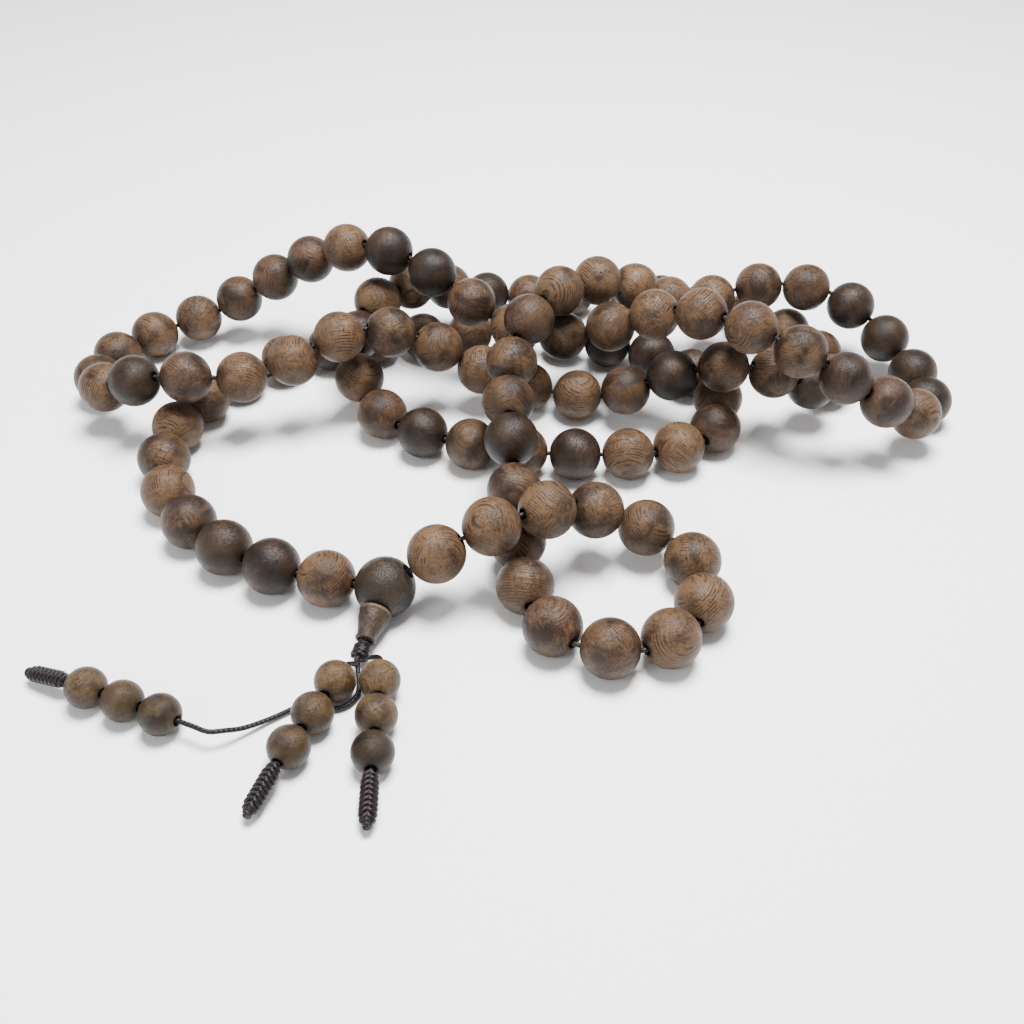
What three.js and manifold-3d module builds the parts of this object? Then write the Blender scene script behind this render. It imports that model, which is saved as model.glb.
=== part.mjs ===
// Mala prayer beads: 108 wooden beads on a cord that closes in a guru bead, the guru's tower and a
// wrapped knot, with three short strands of smaller counter beads. The mala lies in loose rings that
// overlap. Millimetres, +Z up, with the surface it lies on at z = 0.

import * as THREE from "three";
import { mergeVertices } from "three/addons/utils/BufferGeometryUtils.js";
import Module from "manifold-3d";

const wasm = await Module();
wasm.setup();

// ---- Driving dimensions ----

const beadCount = 108;
const beadDiameter = 12;
const boreDiameter = 2;
const guruDiameter = 12.5;
const guruSideBore = 2.3;
const counterDiameter = 8;
const countersPerStrand = 3;
const cordDiameter = 1;
const gap = 0.3; // between neighbours that touch on the real mala
const clearance = 0.1; // under a knot, and between the two cord ends in the tower

const towerLength = 7;
const towerCollar = 6.6; // width across the top, next to the guru ball
const towerTip = 4.2; // width across the bottom lip
const towerBore = 2.9; // both ends of the main cord pass side by side
const towerKnotLength = 4;
const towerKnotDiameter = 3.6;
const towerHeading = -15; // degrees from -Y towards +X

const endKnotLength = 10.5;
const endKnotDiameter = 3.6;
const endNubDiameter = 2.2;
const strandSpareEnd = 0.15; // cord past the last bead, before the end knot
const jointRoom = 0.55; // between a swinging strand's cord and the tower knot
const counterSlide = 2; // travel of each counter bead on the third strand

const headingA = -23; // degrees from -Y towards +X
const headingB = 0.7;
const headingC = -112.5;

// ---- Shape of the faceted solids ----

const beadSides = 8;
const roundSides = 12;
const cordSides = 8;
const sideSwell = 1.033; // corners this far outside the true radius, facets as far inside
const shoulderAngle = THREE.MathUtils.degToRad(50); // of the ring between a bead's end and its middle
const bandHalf = 0.12; // half width of the flat band round a bead, as a share of its radius
const waistDiameter = 3; // of the wood left between the beads of a joined row

// ---- Layout ----

// The joined rows take the beads from firstRowBead on, the rest are pieces of their own.
const firstRowBead = 12;
const beadsPerRow = 9;
const rowCount = 9;

// The main string seen from above, in bead pitches from the guru bead round to it again. Its rings lie
// behind the guru; from them it comes forward and closes in one small ring at the front.
const ringRoute = [
  [-2.1, 0.75],
  [-3.3, 1.75],
  [-3.95, 3.3],
  [-3.5, 5.1],
  [-2.0, 6.4],
  [0.3, 7.0],
  [2.8, 7.0],
  [4.9, 6.1],
  [5.7, 4.6],
  [4.9, 3.5],
  [3.1, 3.3],
  [1.1, 3.6],
  [-0.6, 4.6],
  [-0.8, 6.4],
  [0.8, 8.0],
  [3.4, 8.6],
  [6.0, 8.1],
  [7.7, 6.5],
  [7.3, 4.8],
  [5.2, 4.6],
  [2.8, 5.1],
  [0.2, 5.3],
  [-2.4, 4.5],
  [-4.7, 4.3],
  [-5.7, 5.7],
  [-4.7, 7.3],
  [-2.5, 7.7],
  [-0.3, 6.9],
  [1.8, 6.0],
  [4.1, 5.4],
  [6.4, 4.0],
  [8.5, 3.8],
  [9.4, 5.3],
  [8.3, 7.0],
  [5.8, 7.3],
  [3.4, 6.4],
  [2.2, 5.2],
];
const frontRoute = [
  [2.0, 4.4],
  [2.1, 2.6],
  [2.2, 0.8],
  [2.4, -0.5],
  [3.25, -1.35],
  [4.4, -1.3],
  [5.3, -0.45],
  [5.2, 0.8],
  [4.3, 1.45],
  [3.2, 1.15],
  [2.2, 0.6],
];
const leaveGuru = [-1.0, 0.22];
const meetGuru = [1.0, 0.2];
const ringHub = [0.5, 1.2]; // the rings grow or shrink about this point until the beads fill them
const samplesPerSpan = 24;
const steepest = 0.6; // rise over run of the string where it climbs over itself
const humpRadius = (7 / 6) * beadDiameter; // of the string's curve over what carries it
const crossingRoom = 0.05; // spare height where the string crosses itself, as a share of a bead
const layers = 8; // at most, of string lying on string
const ownStretch = 2.6; // pitches of string that never count as lying over themselves
const ringSizes = [0.7, 1.6]; // the range in which the rings' size is looked for
const ringHalvings = 20; // of that range
const sizingPasses = 3; // each starts from the bends that the one before found
const sizeMargin = 0.02; // how far the size may move from one pass to the next

// The third strand's bare cord, in counter pitches from the tower knot's end. The third number is the
// height, from 0 on the surface to 1 at the height of the counter beads' holes.
const bareCordRoute = [
  [0.02, -0.3, 0.06],
  [0.07, -0.58, 0],
  [0.07, -0.87, 0],
  [-0.07, -1.16, 0],
  [-0.34, -1.31, 0],
  [-0.6, -1.29, 0],
  [-0.92, -1.21, 0],
  [-1.25, -1.26, 0],
  [-1.76, -1.58, 0.02],
  [-2.3, -1.96, 0.35],
  [-2.68, -2.18, 0.8],
];
const straightStart = [-3.01, -2.27];
const firstCounterA = [-0.41, -0.83];
const firstCounterB = [0.6, -0.81];
const bareSteps = 26; // straight pieces of the third strand's bare cord
const bendSteps = 7; // and of the second strand's bend

// ---- Sizes that follow ----

const beadRadius = beadDiameter / 2;
const guruRadius = guruDiameter / 2;
const counterRadius = counterDiameter / 2;
const cordRadius = cordDiameter / 2;
const beadPitch = beadDiameter + gap;
const counterPitch = counterDiameter + gap;
const facetShare = Math.cos(Math.PI / beadSides);
const beadRest = beadRadius * sideSwell * facetShare;
const counterRest = counterRadius * sideSwell * facetShare;
const guruRest = guruRadius * Math.cos(Math.PI / roundSides) + 0.02;
const stringThickness = beadDiameter * (sideSwell + crossingRoom) + gap / 2;
const cordRest = cordRadius + 0.05;
const seatShare = 0.86; // the tower's seat is cut this far out in the guru ball
const towerTop = guruRadius * seatShare + gap;
const towerEnd = towerTop + towerLength;
const knotTop = towerEnd + gap;
const knotEnd = knotTop + towerKnotLength;
const towerDrop = Math.asin((guruRest - towerKnotDiameter / 2 - clearance) / knotEnd);

const up = new THREE.Vector3(0, 0, 1);

// ---- Colours ----

const wood = { color: 0x62483a, roughness: 0.55 };
const darkWood = { color: 0x4b4038, roughness: 0.5 };
const paleWood = { color: 0x76603f, roughness: 0.55 };
const waxedCord = { color: 0x3c2a28, roughness: 0.8 };

// ---- Helpers ----

const point = (x, y, z) => new THREE.Vector3(x, y, z);
const along = (from, direction, distance) => from.clone().addScaledVector(direction, distance);

// The direction at a heading, in degrees from -Y towards +X, dropping by an angle in radians.
function directionOf(heading, drop = 0) {
  const turn = THREE.MathUtils.degToRad(heading);
  return point(
    Math.sin(turn) * Math.cos(drop),
    -Math.cos(turn) * Math.cos(drop),
    -Math.sin(drop),
  );
}

// A frame whose Y runs along the axis and whose Z is as near to straight up as it can be.
function frameAlong(axis, origin) {
  const side = axis.clone().cross(up).normalize();
  const top = side.clone().cross(axis);
  return new THREE.Matrix4().makeBasis(side, axis, top).setPosition(origin);
}

function meshOf(name, geometry, look) {
  const mesh = new THREE.Mesh(geometry, new THREE.MeshStandardMaterial(look));
  mesh.name = name;
  return mesh;
}

// A mesh turned about an axis: the profile's height runs along that axis.
function placedMesh(name, geometry, look, origin, axis) {
  const mesh = meshOf(name, geometry, look);
  mesh.applyMatrix4(frameAlong(axis, origin));
  return mesh;
}

// A turned solid. Profile points are [radius, height]; a flat side faces down.
function turned(profile, sides) {
  const points = profile.map(([radius, height]) => new THREE.Vector2(radius, height));
  return new THREE.LatheGeometry(points, sides, Math.PI / sides, 2 * Math.PI);
}

// A path with corners, sampled exactly at its own points.
class CornerPath extends THREE.Curve {
  constructor(points) {
    super();
    this.points = points;
  }

  getPoint(t) {
    const place = t * (this.points.length - 1);
    const index = Math.min(Math.floor(place), this.points.length - 2);
    return this.points[index].clone().lerp(this.points[index + 1], place - index);
  }

  getUtoTmapping(u) {
    return u;
  }
}

// A cord: a many-sided section carried along a path.
function cordAlong(points) {
  const section = new THREE.Shape();
  for (let side = 0; side < cordSides; side += 1) {
    const turn = (2 * Math.PI * side) / cordSides;
    const place = [cordRadius * Math.cos(turn), cordRadius * Math.sin(turn)];
    if (side === 0) section.moveTo(...place);
    else section.lineTo(...place);
  }
  section.closePath();
  return new THREE.ExtrudeGeometry(section, {
    steps: points.length - 1,
    extrudePath: new CornerPath(points),
  });
}

function solidOf(geometry) {
  const bare = geometry.clone();
  bare.deleteAttribute("normal");
  bare.deleteAttribute("uv");
  const merged = mergeVertices(bare, 1e-4);
  return new wasm.Manifold(
    new wasm.Mesh({
      numProp: 3,
      vertProperties: merged.attributes.position.array,
      triVerts: new Uint32Array(merged.index.array),
    }),
  );
}

function geometryOf(solid) {
  const mesh = solid.getMesh();
  const geometry = new THREE.BufferGeometry();
  geometry.setAttribute("position", new THREE.BufferAttribute(mesh.vertProperties, 3));
  geometry.setIndex(new THREE.BufferAttribute(mesh.triVerts, 1));
  geometry.computeVertexNormals();
  return geometry;
}

// ---- The string's route ----

// The route from above at one size of the rings, as closely spaced points.
function flatRoute(ringSize) {
  const ring = ringRoute.map(([x, y]) => [
    ringHub[0] + (x - ringHub[0]) * ringSize,
    ringHub[1] + (y - ringHub[1]) * ringSize,
  ]);
  const corners = [[0, 0], leaveGuru, ...ring, ...frontRoute, meetGuru, [0, 0]];
  const places = corners.map(([x, y]) => point(x * beadPitch, y * beadPitch, 0));
  const curve = new THREE.CatmullRomCurve3(places, false, "catmullrom", 0.5);
  return curve.getPoints((places.length - 1) * samplesPerSpan);
}

// How far below its highest point the string has come at a distance from it: a round hump, then a
// straight slope.
function dropAt(distance) {
  const bend = humpRadius * steepest;
  if (distance < bend) return distance ** 2 / (2 * humpRadius);
  return steepest * (distance - bend / 2);
}

// Lifts the route where it lies over itself: a later stretch is carried one string's thickness away
// from an earlier one, and each place that is carried holds its neighbours up in a hump.
function liftCrossings(route) {
  const last = route.length - 1;
  const run = [0];
  for (let i = 1; i <= last; i += 1) run.push(run[i - 1] + route[i].distanceTo(route[i - 1]));
  const rests = [];
  for (let i = 0; i <= last; i += 1) {
    for (let j = 0; j < i; j += 1) {
      const apart = Math.min(run[i] - run[j], run[last] - run[i] + run[j]);
      const room = stringThickness ** 2 - route[i].distanceToSquared(route[j]);
      if (apart < ownStretch * beadPitch || room <= 0) continue;
      rests.push([i, j, Math.sqrt(room)]);
    }
  }
  const carried = route.map((_, i) => (i === 0 || i === last ? guruRest : beadRest));
  let height = carried;
  for (let layer = 0; layer < layers; layer += 1) {
    for (const [i, j, rise] of rests) carried[i] = Math.max(carried[i], height[j] + rise);
    const peaks = route.map((_, i) => i).filter((i) => carried[i] > beadRest);
    height = run.map((here) =>
      Math.max(beadRest, ...peaks.map((i) => carried[i] - dropAt(Math.abs(here - run[i])))),
    );
  }
  return route.map((place, i) => point(place.x, place.y, height[i]));
}

// Steps along a route from its start, each step a straight distance. It stops where the route ends.
function stepAlong(route, distances) {
  const stops = [route[0].clone()];
  let index = 1;
  for (const distance of distances) {
    const from = stops[stops.length - 1];
    while (index < route.length && route[index].distanceTo(from) < distance) index += 1;
    if (index === route.length) return stops;
    const span = route[index].clone().sub(route[index - 1]);
    const back = route[index - 1].clone().sub(from);
    const a = span.lengthSq();
    const b = back.dot(span);
    const c = back.lengthSq() - distance ** 2;
    stops.push(along(route[index - 1], span, (Math.sqrt(b * b - a * c) - b) / a));
  }
  return stops;
}

// The corners of the cord: the guru's centre, the middle of each gap between neighbours, and the
// guru's centre again. A bead's cord is longer where the string bends, so that neighbours' centres
// stay one pitch apart. The rings are sized so that the beads fill the string.
function stringCorners() {
  let reach = Array(beadCount + 1).fill(beadPitch / 2);
  let [tooSmall, fits] = ringSizes;
  let corners = [];
  for (let pass = 0; pass < sizingPasses; pass += 1) {
    const inner = reach.slice(1).map((half, i) => half + reach[i]);
    const guruHalf = guruRadius + gap / 2;
    const distances = [guruHalf, ...inner, guruHalf];
    for (let halving = 0; halving < ringHalvings; halving += 1) {
      const size = (tooSmall + fits) / 2;
      const found = stepAlong(liftCrossings(flatRoute(size)), distances);
      if (found.length === distances.length + 1) {
        fits = size;
        corners = found;
      } else {
        tooSmall = size;
      }
    }
    reach = reach.map((_, i) => {
      const before = corners[i + 1].clone().sub(corners[i]);
      const after = corners[i + 2].clone().sub(corners[i + 1]);
      return beadPitch / 2 / Math.cos(before.angleTo(after) / 2);
    });
    tooSmall = fits - sizeMargin;
    fits += sizeMargin;
  }
  return { corners, reach };
}

// ---- Pieces of the main string ----

// A bead's rings from one end to the other, each as [radius, height].
function beadRings(radius) {
  const shoulder = [radius * Math.sin(shoulderAngle), radius * Math.cos(shoulderAngle)];
  const band = [radius * sideSwell, radius * bandHalf];
  return [
    [shoulder[0], -shoulder[1]],
    [band[0], -band[1]],
    [band[0], band[1]],
    [shoulder[0], shoulder[1]],
  ];
}

function beadEnd(radius) {
  return Math.sqrt(radius ** 2 - (boreDiameter / 2) ** 2);
}

function bead(radius) {
  const mouth = boreDiameter / 2;
  const end = beadEnd(radius);
  const rings = beadRings(radius);
  return turned([[mouth, -end], ...rings, [mouth, end], [mouth, -end]], beadSides);
}

// A row of beads in one piece: a straight turned row whose rings are then carried, unchanged, to the
// beads' own places. A narrow waist joins each bead to the next, and the bore runs right through.
function beadRow(centres, axes, gaps) {
  const [shoulder] = beadRings(beadRadius);
  const end = beadEnd(beadRadius);
  const mouth = boreDiameter / 2;
  const waist = waistDiameter / 2;
  const outer = [];
  const inner = [];
  const last = centres.length - 1;
  const ends = [
    frameAlong(axes[0], along(centres[0], axes[0], -end)),
    frameAlong(axes[last], along(centres[last], axes[last], end)),
  ];
  outer.push([waist, ends[0]]);
  inner.push([mouth, ends[0]]);
  centres.forEach((centre, i) => {
    const axis = axes[i];
    outer.push([shoulder[0], frameAlong(axis, along(centre, axis, shoulder[1]))]);
    outer.push([beadRadius * sideSwell, frameAlong(axis, centre)]);
    outer.push([shoulder[0], frameAlong(axis, along(centre, axis, -shoulder[1]))]);
    if (i === last) return;
    const frame = frameAlong(centres[i + 1].clone().sub(centre).normalize(), gaps[i]);
    outer.push([waist, frame]);
    inner.push([mouth, frame]);
  });
  outer.push([waist, ends[1]]);
  inner.push([mouth, ends[1]]);
  const stations = [...outer, ...inner.reverse(), outer[0]];
  const geometry = turned(stations.map(([radius], i) => [radius, i]), beadSides);
  const positions = geometry.getAttribute("position");
  for (let i = 0; i < positions.count; i += 1) {
    const place = new THREE.Vector3().fromBufferAttribute(positions, i).setY(0);
    place.applyMatrix4(stations[i % stations.length][1]);
    positions.setXYZ(i, place.x, place.y, place.z);
  }
  return geometry;
}

// The guru ball: the tower's seat and the lower bore are turned, the two side bores are cut.
function guruBall(towardFirst, towardLast, towerAxis) {
  const bore = towerBore / 2;
  const seat = guruRadius * seatShare;
  const seatAngle = Math.acos(seatShare);
  const profile = [[0, -guruRadius]];
  const steps = 7;
  for (let i = 1; i <= steps; i += 1) {
    const angle = Math.PI - (i / steps) * (Math.PI - seatAngle);
    profile.push([guruRadius * Math.sin(angle), guruRadius * Math.cos(angle)]);
  }
  profile.push([bore, seat], [bore, -bore], [0, -bore]);
  const ball = turned(profile, roundSides).applyMatrix4(frameAlong(towerAxis, point(0, 0, 0)));
  let solid = solidOf(ball);
  for (const sideways of [towardFirst, towardLast]) {
    const drill = new THREE.CylinderGeometry(guruSideBore / 2, guruSideBore / 2, guruDiameter, cordSides);
    drill.applyMatrix4(frameAlong(sideways, sideways.clone().multiplyScalar(guruRadius)));
    solid = solid.subtract(solidOf(drill));
  }
  return geometryOf(solid);
}

// The tower: a domed collar, a taper and a small lip, with a bore for both cord ends.
function tower() {
  const collar = towerCollar / 2;
  const tip = towerTip / 2;
  const bore = towerBore / 2;
  const neck = collar + (tip - collar) * 1.1;
  return turned(
    [
      [bore, 0],
      [collar * 0.9, 0],
      [collar, towerLength * 0.08],
      [collar * 0.97, towerLength * 0.2],
      [(collar + neck) / 2, towerLength * 0.55],
      [neck, towerLength * 0.9],
      [tip, towerLength * 0.95],
      [tip * 0.92, towerLength],
      [bore, towerLength],
      [bore, 0],
    ],
    roundSides,
  );
}

function barrel(length, diameter, sides) {
  const radius = diameter / 2;
  return turned(
    [
      [0, 0],
      [radius * 0.8, 0],
      [radius, length * 0.18],
      [radius, length * 0.82],
      [radius * 0.8, length],
      [0, length],
    ],
    sides,
  );
}

// An end knot: a column of stitches that narrows into a small nub.
function endKnot() {
  const radius = endKnotDiameter / 2;
  const nub = endNubDiameter / 2;
  return turned(
    [
      [0, 0],
      [radius * 0.8, 0],
      [radius, endKnotLength * 0.12],
      [radius, endKnotLength * 0.74],
      [nub, endKnotLength * 0.84],
      [nub, endKnotLength * 0.94],
      [nub * 0.6, endKnotLength],
      [0, endKnotLength],
    ],
    beadSides,
  );
}

// ---- The main string ----

const mala = new THREE.Group();
const numbered = (stem, number, digits) => stem + String(number).padStart(digits, "0");

const { corners, reach } = stringCorners();
const guruCentre = corners[0];
const gaps = corners.slice(1, -1);
const beadAxes = gaps.slice(1).map((after, i) => after.clone().sub(gaps[i]).normalize());
const beadCentres = beadAxes.map((axis, i) => along(gaps[i], axis, reach[i]));
const towardFirst = gaps[0].clone().sub(guruCentre).normalize();
const towardLast = gaps[beadCount].clone().sub(guruCentre).normalize();
const towerAxis = directionOf(towerHeading, towerDrop);

const rowEnd = firstRowBead + beadsPerRow * rowCount;
for (let number = 1; number <= beadCount; number += 1) {
  if (number >= firstRowBead && number < rowEnd) continue;
  const name = numbered("main_bead_", number, 3);
  mala.add(placedMesh(name, bead(beadRadius), wood, beadCentres[number - 1], beadAxes[number - 1]));
}
for (let row = 0; row < rowCount; row += 1) {
  const first = firstRowBead - 1 + row * beadsPerRow;
  const past = first + beadsPerRow;
  const centres = beadCentres.slice(first, past);
  const solid = beadRow(centres, beadAxes.slice(first, past), gaps.slice(first + 1, past));
  mala.add(meshOf(`bead_run_${row + 1}`, solid, wood));
}

// The cord's way from the tower up into the guru ball and out through one of its side bores.
function cordInGuru(sideways) {
  const acrossTower = sideways.clone().addScaledVector(towerAxis, -sideways.dot(towerAxis)).normalize();
  const beside = cordRadius + clearance;
  const inTower = (distance) => along(along(guruCentre, towerAxis, distance), acrossTower, beside);
  return [
    inTower(towerEnd - gap),
    inTower(guruRadius * 0.5),
    inTower(cordDiameter * 0.8),
    along(guruCentre, sideways, cordDiameter * 1.4),
    along(guruCentre, sideways, guruRadius * 0.6),
  ];
}

const mainCordPath = [...cordInGuru(towardFirst), ...gaps, ...cordInGuru(towardLast).reverse()];
mala.add(meshOf("main_cord", cordAlong(mainCordPath), waxedCord));

const guru = meshOf("guru_bead", guruBall(towardFirst, towardLast, towerAxis), darkWood);
guru.position.copy(guruCentre);
mala.add(guru);
mala.add(placedMesh("guru_tower", tower(), darkWood, along(guruCentre, towerAxis, towerTop), towerAxis));
const towerKnot = barrel(towerKnotLength, towerKnotDiameter, beadSides);
mala.add(placedMesh("tower_knot", towerKnot, waxedCord, along(guruCentre, towerAxis, knotTop), towerAxis));

// ---- The counter strands ----

const knotFace = along(guruCentre, towerAxis, knotEnd);
const fromKnot = ([x, y], height) =>
  point(knotFace.x + x * counterPitch, knotFace.y + y * counterPitch, height);

// Three counter beads from the first one's centre, and the end knot that stops them.
function counterStrand(letter, first, direction, order) {
  order.forEach((number, i) => {
    const name = `counter_bead_${letter}${number}`;
    const centre = along(first, direction, i * counterPitch);
    mala.add(placedMesh(name, bead(counterRadius), paleWood, centre, direction));
  });
  const lastCentre = along(first, direction, (countersPerStrand - 1) * counterPitch);
  const cordEnd = along(lastCentre, direction, counterRadius + strandSpareEnd);
  const knotStart = along(cordEnd, direction, gap);
  const fall = Math.asin((counterRest - endKnotDiameter / 2 - clearance) / endKnotLength);
  const axis = direction.clone().multiplyScalar(Math.cos(fall)).addScaledVector(up, -Math.sin(fall));
  mala.add(placedMesh(`end_knot_${letter}`, endKnot(), waxedCord, knotStart, axis));
  return cordEnd;
}

// Strand A leaves the end of the tower knot and lies over the third strand's cord.
const firstA = fromKnot(firstCounterA, counterRest);
const directionA = directionOf(headingA);
const startA = along(along(knotFace, towerAxis, jointRoom), up, cordDiameter * 0.65);
const endA = counterStrand("a", firstA, directionA, [1, 2, 3]);
const pathA = [
  startA,
  along(startA, towerAxis, cordDiameter * 0.8),
  startA.clone().lerp(along(firstA, directionA, -counterRadius), 0.65).setZ(counterRest * 0.88),
  along(firstA, directionA, -counterRadius),
  endA,
];
mala.add(meshOf("counter_cord_a", cordAlong(pathA), waxedCord));

// Strand B leaves the side of the tower knot and bends down into its first bead.
const firstB = fromKnot(firstCounterB, counterRest);
const directionB = directionOf(headingB);
const sideOfKnot = towerAxis.clone().cross(up).normalize().multiplyScalar(-1);
const leaveB = along(knotFace, towerAxis, -towerKnotDiameter * 0.3);
const startB = along(leaveB, sideOfKnot, towerKnotDiameter / 2 + jointRoom);
const mouthB = along(firstB, directionB, -counterRadius);
const halfwayDown = point(mouthB.x, startB.y, (startB.z + counterRest) / 2);
const behindMouth = point(mouthB.x, startB.y, counterRest);
const bend = new THREE.CubicBezierCurve3(
  startB,
  startB.clone().lerp(halfwayDown, 0.6),
  mouthB.clone().lerp(behindMouth, 0.55),
  mouthB,
);
const pathB = [...bend.getPoints(bendSteps), counterStrand("b", firstB, directionB, [1, 2, 3])];
mala.add(meshOf("counter_cord_b", cordAlong(pathB), waxedCord));

// Strand C's bare cord passes under strand A and runs straight into its beads, which slide on it.
const directionC = directionOf(headingC);
const straight = fromKnot(straightStart, counterRest);
const straightLength = countersPerStrand * counterSlide + gap;
const firstC = along(straight, directionC, straightLength + counterRadius);
const startC = along(along(knotFace, towerAxis, gap), up, -cordDiameter * 0.6);
const barePath = new THREE.CatmullRomCurve3(
  [
    startC,
    ...bareCordRoute.map(([x, y, rise]) => fromKnot([x, y], cordRest + rise * (counterRest - cordRest))),
    straight,
    along(straight, directionC, straightLength / 2),
  ],
  false,
  "catmullrom",
  0.5,
);
const pathC = [...barePath.getPoints(bareSteps), counterStrand("c", firstC, directionC, [3, 2, 1])];
mala.add(meshOf("counter_cord_c", cordAlong(pathC), waxedCord));

// The origin is under the middle of the whole mala.
const extent = new THREE.Box3().setFromObject(mala, true);
const middle = extent.getCenter(new THREE.Vector3());
mala.position.set(-middle.x, -middle.y, -extent.min.z);

export default mala;
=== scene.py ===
"""Mala prayer beads lying in loose rings: wooden beads, guru bead, counter strands and their cords."""

import math

import bpy
import numpy as np
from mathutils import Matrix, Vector


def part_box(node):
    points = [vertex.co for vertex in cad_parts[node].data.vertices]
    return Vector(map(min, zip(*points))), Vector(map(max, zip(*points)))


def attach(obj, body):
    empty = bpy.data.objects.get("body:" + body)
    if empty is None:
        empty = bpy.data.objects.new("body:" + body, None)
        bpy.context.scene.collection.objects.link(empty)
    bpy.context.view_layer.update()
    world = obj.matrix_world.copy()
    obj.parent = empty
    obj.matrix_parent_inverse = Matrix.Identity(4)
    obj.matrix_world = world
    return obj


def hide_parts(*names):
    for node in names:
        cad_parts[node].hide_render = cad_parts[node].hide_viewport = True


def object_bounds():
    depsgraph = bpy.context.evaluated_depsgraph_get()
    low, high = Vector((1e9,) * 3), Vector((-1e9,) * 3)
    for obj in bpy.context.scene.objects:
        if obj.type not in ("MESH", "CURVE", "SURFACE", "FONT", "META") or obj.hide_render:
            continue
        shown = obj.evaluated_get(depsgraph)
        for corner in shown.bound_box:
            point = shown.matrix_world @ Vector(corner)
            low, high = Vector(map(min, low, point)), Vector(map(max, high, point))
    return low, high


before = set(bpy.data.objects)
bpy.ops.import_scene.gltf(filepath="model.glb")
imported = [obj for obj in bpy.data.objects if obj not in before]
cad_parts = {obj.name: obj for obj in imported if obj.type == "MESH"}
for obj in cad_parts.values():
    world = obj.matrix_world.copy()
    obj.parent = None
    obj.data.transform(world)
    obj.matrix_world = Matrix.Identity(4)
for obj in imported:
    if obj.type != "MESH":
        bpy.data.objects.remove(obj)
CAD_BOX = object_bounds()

MM = 0.001

# ---- Sizes, in metres, the same as the frame's ----

BEAD_COUNT = 108
BEAD_RADIUS = 6 * MM
BORE_RADIUS = 1 * MM
GURU_RADIUS = 6.25 * MM
COUNTER_RADIUS = 4 * MM
CORD_RADIUS = 0.5 * MM
GAP = 0.3 * MM
CLEARANCE = 0.1 * MM
GURU_REST_ROOM = 0.02 * MM
CORD_REST_ROOM = 0.05 * MM
BEAD_PITCH = 2 * BEAD_RADIUS + GAP
COUNTER_PITCH = 2 * COUNTER_RADIUS + GAP
BEAD_SIDES = 8
GURU_SIDES = 12
SIDE_SWELL = 1.033
BEAD_REST = BEAD_RADIUS * SIDE_SWELL * math.cos(math.pi / BEAD_SIDES)
COUNTER_REST = COUNTER_RADIUS * SIDE_SWELL * math.cos(math.pi / BEAD_SIDES)
GURU_REST = GURU_RADIUS * math.cos(math.pi / GURU_SIDES) + GURU_REST_ROOM
CROSSING_ROOM = 0.05
STRING_THICKNESS = 2 * BEAD_RADIUS * (SIDE_SWELL + CROSSING_ROOM) + GAP / 2
CORD_REST = CORD_RADIUS + CORD_REST_ROOM

TOWER_LENGTH = 7 * MM
TOWER_COLLAR = 6.6 * MM
TOWER_TIP = 4.2 * MM
TOWER_BORE = 2.9 * MM
TOWER_KNOT_LENGTH = 4 * MM
TOWER_KNOT_RADIUS = 1.8 * MM
TOWER_HEADING = -15
SEAT_SHARE = 0.86
TOWER_TOP = GURU_RADIUS * SEAT_SHARE + GAP
TOWER_END = TOWER_TOP + TOWER_LENGTH
KNOT_TOP = TOWER_END + GAP
KNOT_END = KNOT_TOP + TOWER_KNOT_LENGTH
TOWER_DROP = math.asin((GURU_REST - TOWER_KNOT_RADIUS - CLEARANCE) / KNOT_END)

END_KNOT_LENGTH = 10.5 * MM
END_KNOT_RADIUS = 1.8 * MM
STRAND_SPARE_END = 0.15 * MM
JOINT_ROOM = 0.55 * MM
COUNTER_SLIDE = 2 * MM
HEADING_A = -23
HEADING_B = 0.7
HEADING_C = -112.5

FIRST_ROW_BEAD = 12
BEADS_PER_ROW = 9
ROW_COUNT = 9

# ---- Route of the main string, in bead pitches from the guru bead ----

RING_ROUTE = [
    (-2.1, 0.75), (-3.3, 1.75), (-3.95, 3.3), (-3.5, 5.1), (-2.0, 6.4), (0.3, 7.0), (2.8, 7.0),
    (4.9, 6.1), (5.7, 4.6), (4.9, 3.5), (3.1, 3.3), (1.1, 3.6), (-0.6, 4.6), (-0.8, 6.4),
    (0.8, 8.0), (3.4, 8.6), (6.0, 8.1), (7.7, 6.5), (7.3, 4.8), (5.2, 4.6), (2.8, 5.1),
    (0.2, 5.3), (-2.4, 4.5), (-4.7, 4.3), (-5.7, 5.7), (-4.7, 7.3), (-2.5, 7.7), (-0.3, 6.9),
    (1.8, 6.0), (4.1, 5.4), (6.4, 4.0), (8.5, 3.8), (9.4, 5.3), (8.3, 7.0), (5.8, 7.3),
    (3.4, 6.4), (2.2, 5.2),
]
FRONT_ROUTE = [
    (2.0, 4.4), (2.1, 2.6), (2.2, 0.8), (2.4, -0.5), (3.25, -1.35), (4.4, -1.3), (5.3, -0.45),
    (5.2, 0.8), (4.3, 1.45), (3.2, 1.15), (2.2, 0.6),
]
LEAVE_GURU = (-1.0, 0.22)
MEET_GURU = (1.0, 0.2)
RING_HUB = (0.5, 1.2)
SAMPLES_PER_SPAN = 24
STEEPEST = 0.6
HUMP_RADIUS = 7 / 3 * BEAD_RADIUS
LAYERS = 8
OWN_STRETCH = 2.6

# The rings' smallest and largest size, how often the span between them is halved, how often the gaps
# are measured again, and how far the size may move between two of those passes.
RING_SIZES = (0.7, 1.6)
RING_HALVINGS = 20
SIZING_PASSES = 3
SIZE_MARGIN = 0.02

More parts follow.
